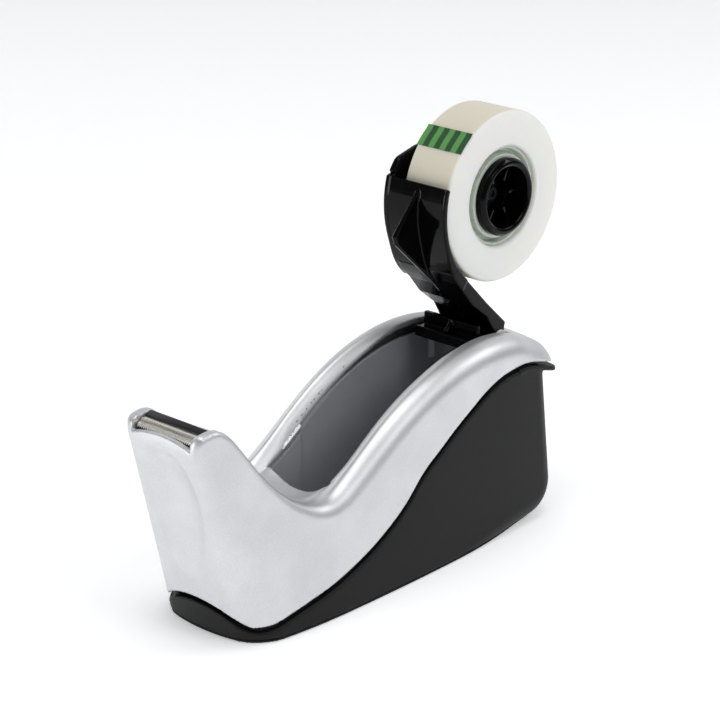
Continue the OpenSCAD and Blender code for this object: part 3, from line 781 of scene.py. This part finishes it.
points, faces, facing = skin(pad_rule, (-27.4, -80, 0), (27.4, 80, PAD_T), 0.6)
piece("foot_pad", points, faces, cell_foam, "housing", ["base_pad"], facing)

# %% [markdown]
# ## The grey well
# The well is a liner 1.6 mm thick: straight sides, a floor that rises in a curve at the front,
# and a deeper corner at the back where the heel of the arm swings down. It is drawn as a side
# outline and a width, then hollowed, and it stops just under the cover's skin.

# %% Outline of the well
LINER, FLOOR_Z = 1.6, 8.0
HEEL_FLOOR, HEEL_BACK = HINGE_Z - 18.6, HINGE_Y + 9.8
FRONT_BEND_Z, FRONT_RUN = 39.4, 36.4
bend_line = [(WELL_FRONT + FRONT_RUN * (1 - math.cos(t)),
              FRONT_BEND_Z - (FRONT_BEND_Z - FLOOR_Z) * math.sin(t))
             for t in np.radians(np.linspace(0, 90, 14))]
OPEN_TOP = 120
HEEL_START, BACK_WALL, HEEL_TOP = HINGE_Y - 0.6, HINGE_Y + 5.2, HINGE_Z - 7.4
well_side = outline([(WELL_FRONT, OPEN_TOP)] + bend_line + [
    (HEEL_START, FLOOR_Z), (HEEL_START, HEEL_FLOOR), (HEEL_BACK, HEEL_FLOOR),
    (HEEL_BACK, HEEL_TOP), (BACK_WALL, HEEL_TOP), (BACK_WALL, OPEN_TOP)])
print("well runs from", WELL_FRONT, "to", round(BACK_WALL, 1), "mm, floor at", FLOOR_Z)


# %% Draw the well
def well_space(x, y, z):
    """The room inside the well: its side outline, as wide as the cover's opening."""
    left = left_wall(y, -0.6, 0.6)
    closing = fade(y, POCKET_BACK - 0.6, POCKET_BACK + 0.6) * fade(z, 53, 54.2)
    left = left - (POCKET - MOUTH) * closing
    return cut_to(np.maximum(x - MOUTH, -x - left), well_side(y, z), 1.5)


def well_rule(x, y, z):
    space = well_space(x, y, z)
    liner = cut_to(space - LINER, -space, 0.4)
    cheeks = np.maximum(np.maximum(np.abs(x) - MOUTH - 4, MOUTH - 0.4 - np.abs(x)),
                        np.maximum(np.abs(y - HINGE_Y) - 4.6, np.abs(z - HINGE_Z) - 4))
    solid = cut_to(join(liner, cheeks, 0.4), cover_body(x, y, z) + COVER_WALL + 0.1, 0.4)
    bore = np.hypot(y - HINGE_Y, z - HINGE_Z) - 1.3
    return cut_to(cut_to(solid, base_body(x, y, z) + BASE_WALL, 0.4), -bore, 0.2)


points, faces, facing = skin(well_rule, (-18, -25, 6), (18, 77, 70), 0.7)
piece("well", points, faces, satin_grey, "housing", ["tape_well"], facing)

# %% [markdown]
# ## The swinging arm
# The arm is one polished moulding. A curved cradle, 2 mm thick, wraps the front of the roll; a
# side plate carries the hub; a strap runs down to the hinge, with a fin down its middle and a
# heel behind that stops it. Each part is a side outline pushed out along X, and all are joined
# with small fillets, as a mould maker would do.

# %% Outlines of the arm
AT_ROLL, AT_HINGE = np.array([ROLL_Y, ROLL_Z]), np.array([HINGE_Y, HINGE_Z])
ARM_LEFT, PLATE_X, ARM_RIGHT, STRAP = -14.3, -12.3, 12.2, 12.0
CRADLE_IN, CRADLE_OUT, BOSS_R, ARM_AXLE_R, AXLE_END = 31.4, 33.4, 6, 3.5, 2.4
BARREL_R, BUSH_HOLE_R, BUSH_DEEP, PIN_HOLE_R, SCREW_HOLE_R, SCREW_DEEP = 3.2, 2.2, 5, 1.5, 1, 6.5


def round_roll(radius, angle):
    """A place at a distance from the roll's axle, in a direction in degrees from +Y."""
    return tuple(AT_ROLL + radius * np.array([math.cos(math.radians(angle)),
                                              math.sin(math.radians(angle))]))


def near_hinge(*places):
    """Places given from the hinge pin."""
    return [tuple(AT_HINGE + p) for p in places]


cradle = outline(arc(AT_ROLL, CRADLE_IN, 163, 229, 22)
                 + [round_roll(CRADLE_OUT + 1.9 * float(fade(a, 195, 225)), a)
                    for a in np.linspace(229, 163, 24)])
plate = outline(arc(AT_ROLL, CRADLE_OUT, 163, 240, 24) + arc(AT_ROLL, 19.5, 290, 460, 28)
                + rounded([tuple(AT_ROLL + (0, 19.5)), tuple(AT_ROLL + (-19, 17.2)),
                           tuple(AT_ROLL + (-28, 15)), round_roll(CRADLE_OUT, 163)], 4)[6:18])
strap = outline(near_hinge((-24.6, 28), (-14, 15), (-6.6, 9.2), (-2.4, 2.2), (2.6, 1.6), (3.3, 5),
                           (-6.5, 14.2)) + [round_roll(31.5, 228), round_roll(31.7, 215)])
fin = outline([round_roll(32.4, 164)] + near_hinge((-40.6, 42.6), (-39.6, 39.6), (-13.5, 15.6))
              + [round_roll(32.4, a) for a in (236, 212, 188)])
web = outline(near_hinge((-15.6, 2), (-2, 1), (-4, 6), (-10.6, 6.8)))
heel_bars = [outline(near_hinge(*bar)) for bar in (
    [(-15.6, 1.2), (0, -1.2), (0, 1.2), (-15.6, 3)],
    [(-11.4, 1.6), (-9.9, 1.6), (-9.9, 7), (-11.4, 7)],
    [(-16, -0.6), (-14.6, -0.6), (-14.6, 2.8), (-16, 2.8)])]
ARM_SLABS = ([(cradle, ARM_LEFT, ARM_RIGHT, 0.6), (plate, ARM_LEFT, PLATE_X, 0.6),
              (strap, -STRAP, STRAP, 0.5), (fin, -0.8, 0.8, 0.4), (web, -0.8, 0.8, 0.4)]
             + [(bar, -STRAP, STRAP, 0.4) for bar in heel_bars])
print("arm is joined from", len(ARM_SLABS), "flat parts, a boss, an axle and a barrel")


# %% Draw the arm
def slab(place, side, x0, x1, r):
    """Rule for a side outline between x0 and x1, with edges rounded by r."""
    x, y, z = place
    return cut_to(side(y, z), np.abs(x - (x0 + x1) / 2) - (x1 - x0) / 2, r)


def arm_rule(x, y, z):
    solid = slab((x, y, z), *ARM_SLABS[0])
    for part in ARM_SLABS[1:]:
        solid = join(solid, slab((x, y, z), *part), 0.5)
    from_axle = np.hypot(y - ROLL_Y, z - ROLL_Z)
    from_pin = np.hypot(y - HINGE_Y, z - HINGE_Z)
    boss = cut_to(from_axle - BOSS_R, np.maximum(PLATE_X - 1 - x, x - PLATE_X - 0.3), 0.2)
    axle = cut_to(from_axle - ARM_AXLE_R, np.maximum(PLATE_X - 1 - x, x - AXLE_END), 0.3)
    barrel = cut_to(from_pin - BARREL_R, np.abs(x) - STRAP, 0.3)
    solid = join(join(join(solid, boss, 0.3), axle, 0.4), barrel, 0.6)
    bush_hole = cut_to(from_pin - BUSH_HOLE_R, STRAP - BUSH_DEEP - np.abs(x), 0.1)
    solid = cut_to(solid, -np.minimum(bush_hole, from_pin - PIN_HOLE_R), 0.2)
    return cut_to(solid, -np.maximum(from_axle - SCREW_HOLE_R, -x - SCREW_DEEP), 0.2)


points, faces, facing = skin(arm_rule, (-14.6, 20, 60), (12.6, 98, 136), 0.5)
piece("arm", points, faces, polished_black, "roll_arm", ["swing_arm"], facing)

# %% [markdown]
# ## Turned pieces
# The hub, the core, the winding and the small fittings are all round. Each is a closed outline
# of (x, radius) places turned about the axle. The corners are rounded first, since a real edge
# always catches a thin line of light.


# %% Turn an outline about an axle
CREASE = 40


def turned(profile, y, z, turns=144):
    """Points and faces of a closed (x, radius) outline turned about a line along X."""
    profile, angles = np.array(profile), np.radians(np.arange(turns) * 360 / turns)
    points = np.array([(x, y + r * math.cos(a), z + r * math.sin(a))
                       for a in angles for x, r in profile])
    n = len(profile)
    faces = [(k * n + i, k * n + (i + 1) % n, (k + 1) % turns * n + (i + 1) % n,
              (k + 1) % turns * n + i) for k in range(turns) for i in range(n)]
    return points, faces


def turned_piece(name, profile, finish, body, stands_for, axle="roll", sides=(1,)):
    """A turned piece, or a pair of them mirrored to the other side of x = 0."""
    y, z = (ROLL_Y, ROLL_Z) if axle == "roll" else (HINGE_Y, HINGE_Z)
    all_points, all_faces = [], []
    for side in sides:
        points, faces = turned([(x * side, r) for x, r in profile][::side], y, z)
        all_faces += [tuple(i + sum(map(len, all_points)) for i in f) for f in faces]
        all_points.append(points)
    return piece(name, np.concatenate(all_points), all_faces, finish, body, stands_for,
                 crease=CREASE)


print("a square ring turned:", len(turned([(0, 1), (1, 1), (1, 2), (0, 2)], 0, 0)[1]), "faces")

# %% Winding and core
HALF_TAPE, CORE_IN, CORE_OUT, ROLL_R = 9.5, 13.0, 17.0, 29.25
turned_piece("winding", rounded([
    (-HALF_TAPE, CORE_OUT), (HALF_TAPE, CORE_OUT), (HALF_TAPE, ROLL_R), (-HALF_TAPE, ROLL_R)],
    1.2, 6), matt_film, "tape_roll", ["tape_winding"])
CORE_LAND, CORE_LIP, GROOVE, STEP_IN = 14.3, 16, 4.5, 1.5
core_half = [(HALF_TAPE - STEP_IN, CORE_OUT), (HALF_TAPE - STEP_IN, CORE_LIP),
             (HALF_TAPE - GROOVE, CORE_LIP), (HALF_TAPE - GROOVE, CORE_LAND),
             (HALF_TAPE - 1, CORE_LAND), (HALF_TAPE - 1, CORE_IN)]
turned_piece("core_ring", rounded(core_half + [(-x, r) for x, r in core_half[::-1]], 0.25, 3),
             pale_styrene, "tape_roll", ["tape_core"])

# %% Small solid shapes
def pushed(side, x0, x1, bevel, segments=2):
    """Points and faces of a (y, z) outline pushed out along X, with its edges bevelled."""
    shape = bmesh.new()
    ends = [[shape.verts.new((x, y, z)) for y, z in side] for x in (x0, x1)]
    shape.faces.new(ends[0])
    shape.faces.new(ends[1][::-1])
    for i in range(len(side)):
        j = (i + 1) % len(side)
        shape.faces.new((ends[0][i], ends[1][i], ends[1][j], ends[0][j]))
    bmesh.ops.recalc_face_normals(shape, faces=shape.faces)
    bmesh.ops.bevel(shape, geom=shape.edges, offset=bevel, segments=segments, profile=0.5,
                    affect="EDGES", clamp_overlap=True)
    shape.verts.index_update()
    points = np.array([v.co[:] for v in shape.verts])
    faces = [tuple(v.index for v in f.verts) for f in shape.faces]
    shape.free()
    return points, faces


def gathered(*parts):
    """Several (points, faces) pairs as one."""
    points, faces, count = [], [], 0
    for part_points, part_faces in parts:
        faces += [tuple(i + count for i in f) for f in part_faces]
        points.append(part_points)
        count += len(part_points)
    return np.concatenate(points), faces


def tilted(part, degrees, y, z):
    """A part turned about a line along X."""
    points, faces = part
    c, s = math.cos(math.radians(degrees)), math.sin(math.radians(degrees))
    dy, dz = points[:, 1] - y, points[:, 2] - z
    return np.stack([points[:, 0], y + c * dy - s * dz, z + s * dy + c * dz], 1), faces


print("a bevelled block has", len(pushed(SQUARE, 0, 5, 0.5)[1]), "faces")

# %% Hub with its ribs
HUB_R, CUP_R, WEB_X, AXLE_R, FLANGE_X = 12.9, 10.5, 2.1, 3.55, -11.8
TUBE_R, FLANGE_R, TAPE_LEFT, SHOULDER = AXLE_R + 2, HUB_R + 2.6, -HALF_TAPE - 0.2, HALF_TAPE - 0.9
hub_outline = rounded([
    (FLANGE_X, AXLE_R), (FLANGE_X, TUBE_R), (WEB_X - 2, TUBE_R), (WEB_X - 2, CUP_R),
    (FLANGE_X, CUP_R), (FLANGE_X, FLANGE_R), (TAPE_LEFT, FLANGE_R), (TAPE_LEFT, HUB_R),
    (SHOULDER, HUB_R), (SHOULDER, HUB_R + 0.45), (HALF_TAPE + 1.2, HUB_R + 0.35),
    (HALF_TAPE + 2.2, HUB_R - 0.5), (HALF_TAPE + 2.4, HUB_R - 1.4), (HALF_TAPE + 1.9, CUP_R),
    (WEB_X, CUP_R), (WEB_X, AXLE_R)], 0.6, 4)
RIB_IN, RIB_OUT, RIB_HALF = ROLL_Y + 5.2, ROLL_Y + 10.8, 0.6
rib_side = [(RIB_IN, ROLL_Z - RIB_HALF), (RIB_IN, ROLL_Z + RIB_HALF),
            (RIB_OUT, ROLL_Z + RIB_HALF), (RIB_OUT, ROLL_Z - RIB_HALF)]
ribs = [tilted(pushed(rib_side, WEB_X - 0.3, WEB_X + 5.4, 0.2), angle, ROLL_Y, ROLL_Z)
        for angle in range(0, 360, 60)]
points, faces = gathered(turned(hub_outline, ROLL_Y, ROLL_Z), *ribs)
piece("hub", points, faces, polished_black, "tape_roll", ["hub_wheel"],
      crease=CREASE)

# %% Pin, bushes, washer and screw
PIN_HALF, PIN_R, ON_AXIS = 16, 1.25, 0.01
turned_piece("pin", rounded([(-PIN_HALF, ON_AXIS), (-PIN_HALF, PIN_R), (PIN_HALF, PIN_R),
                             (PIN_HALF, ON_AXIS)], 0.3, 4),
             zinc_plate, "housing", ["hinge_pin"], axle="hinge")
turned_piece("bushes", rounded([(7.1, 1.3), (12.5, 1.3), (12.5, 3), (12, 3), (12, 2.18),
                                (7.1, 2.18)], 0.12, 3),
             natural_nylon, "roll_arm", ["hinge_bushes"], axle="hinge",
             sides=(-1, 1))
DISC_FACE, DISC_HOLE, DISC_R, SHANK_R, HEAD_R = 3.2, 1.15, 5, 0.98, 2.3
turned_piece("axle_disc", rounded([(AXLE_END, DISC_HOLE), (AXLE_END, DISC_R),
                                   (DISC_FACE, DISC_R), (DISC_FACE, DISC_HOLE)], 0.2, 4),
             blackened_steel, "roll_arm", ["axle_washer"])
turned_piece("axle_bolt", rounded([
    (-5.5, ON_AXIS), (-5.5, SHANK_R), (DISC_FACE, SHANK_R), (DISC_FACE, HEAD_R), (4.8, HEAD_R),
    (4.8, 1.1), (4.1, 0.9), (4.1, ON_AXIS)], 0.2, 4),
             blackened_steel, "roll_arm", ["axle_screw"])

# %% [markdown]
# ## The starting tab
# A strip of green film marks the end of the tape. It follows the roll, and its free edge has
# sprung up by half a millimetre, as stiff film does.

# %% Tab
TAB_FROM, TAB_TO, TAB_THICK, TAB_LIFT, TAB_GAP, SPRUNG = 123.6, 139.4, 0.13, 0.45, 0.03, 0.3
TAB_ACROSS, TAB_ALONG = 20, 16


def tab_sheet(lift):
    """One face of the tab, lift above the roll. The sprung share of its length bends away."""
    rows = []
    for i in range(TAB_ALONG + 1):
        share = i / TAB_ALONG
        angle = math.radians(TAB_FROM + (TAB_TO - TAB_FROM) * share)
        radius = ROLL_R + TAB_GAP + lift + TAB_LIFT * max(0, 1 - share / SPRUNG) ** 2
        for j in range(TAB_ACROSS + 1):
            x = HALF_TAPE * (2 * j / TAB_ACROSS - 1)
            rows.append((x, ROLL_Y + radius * math.cos(angle), ROLL_Z + radius * math.sin(angle)))
    return rows


def sheet_faces(columns, rows, start=0):
    """Four-sided faces of a grid of points, counted from start."""
    return [(start + i * columns + j, start + i * columns + j + 1,
             start + (i + 1) * columns + j + 1, start + (i + 1) * columns + j)
            for i in range(rows - 1) for j in range(columns - 1)]


def closed_sheet(under, over, columns):
    """A thin solid from two matching sheets of points."""
    rows, count = len(under) // columns, len(under)
    faces = [f[::-1] for f in sheet_faces(columns, rows)] + sheet_faces(columns, rows, count)
    rim = ([(i, i + 1) for i in range(columns - 1)]
           + [((i + 1) * columns - 1, (i + 2) * columns - 1) for i in range(rows - 1)]
           + [(count - 1 - i, count - 2 - i) for i in range(columns - 1)]
           + [(i * columns, (i - 1) * columns) for i in range(rows - 1, 0, -1)])
    faces += [(a, b, b + count, a + count) for a, b in rim]
    return np.array(under + over), faces


points, faces = closed_sheet(tab_sheet(0), tab_sheet(TAB_THICK), TAB_ACROSS + 1)
piece("tab", points, faces, striped_film, "tape_roll", ["tape_end_tab"], crease=50)

# %% [markdown]
# ## Blade, holder and tape strip
# The blade is one strip of steel with two folds: a flat that the tape lies on, a short step, and
# a lip that ends in a row of fine teeth. It is built as a sheet whose front edge zigzags. A
# black holder fills the seat below it, and a dull black strip behind it holds the tape's end.

# %% Blade
BLADE_HALF, BLADE_THICK, TEETH = 12.3, 0.45, 30
BLADE_LINE = [(-75.3, 72.1), (-77, 72.12), (-78.3, 72.12), (-78.5, 72.0), (-78.8, 71.45),
              (-78.98, 71.3), (-79.5, 71.1), (-80.0, 70.85)]
TIP, GULLET = (-80.45, 69.95), (-80.12, 70.6)
LIP_THIN = 0.35
columns = TEETH * 2 + 1


def blade_sheet(drop):
    """One face of the blade, with its zigzag row of teeth last. The lip is ground thinner."""
    sheet = [(BLADE_HALF * (2 * j / (columns - 1) - 1), y, z - drop)
             for y, z in BLADE_LINE for j in range(columns)]
    for j in range(columns):
        y, z = TIP if j % 2 else GULLET
        sheet.append((BLADE_HALF * (2 * j / (columns - 1) - 1), y, z - drop * LIP_THIN))
    return sheet


points, faces = closed_sheet(blade_sheet(BLADE_THICK), blade_sheet(0), columns)
piece("blade", points, faces, blade_steel, "housing", ["cutter_blade"], crease=25)

# %% Holder and tape strip
HOLDER_FRONT, HOLDER_BACK, HOLDER_TOP, HOLDER_HALF = -80.1, -75.1, 71.6, 12.6
points, faces = pushed([(HOLDER_FRONT, SEAT_FLOOR), (HOLDER_FRONT, 69.7), (-78.5, HOLDER_TOP),
                        (HOLDER_BACK, HOLDER_TOP), (HOLDER_BACK, SEAT_FLOOR)],
                       -HOLDER_HALF, HOLDER_HALF, 0.15)
piece("holder", points, faces, dull_strip, "housing", ["blade_holder"],
      crease=35)
strip_side = [(-76.5, 72.12), (-76.5, 72.45), (-75.9, 73.0), (-74.6, 73.5), (-73.9, 73.4),
              (-73.9, 72.9), (-75.05, 72.6), (-75.05, 72.12)]
strip_ribs = [pushed([(y, z - 0.3), (y + 0.25, z + 0.12), (y + 0.5, z - 0.2)],
                     0.2 - HOLDER_HALF, HOLDER_HALF - 0.2, 0.04, 1)
              for y, z in ((-75.9, 73.05), (-75.1, 73.35))]
points, faces = gathered(pushed(strip_side, -HOLDER_HALF, HOLDER_HALF, 0.12), *strip_ribs)
piece("tape_strip", points, faces, dull_strip, "housing", ["tape_rest"],
      crease=35)

# %% [markdown]
# ## Pieces kept from the frame
# The plate, the weights and the screws are plain cut or turned parts whose frame shape
# is right already. They keep it, and only get their real finish.

# %% Finish the kept pieces
kept = {"base_plate": textured_black, "base_weight": mill_steel,
        "nose_weight": mill_steel, "base_screws": zinc_plate, "cover_screws": zinc_plate}
for node, finish in kept.items():
    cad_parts[node].data.materials.clear()
    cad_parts[node].data.materials.append(finish)
print("kept", sorted(kept))
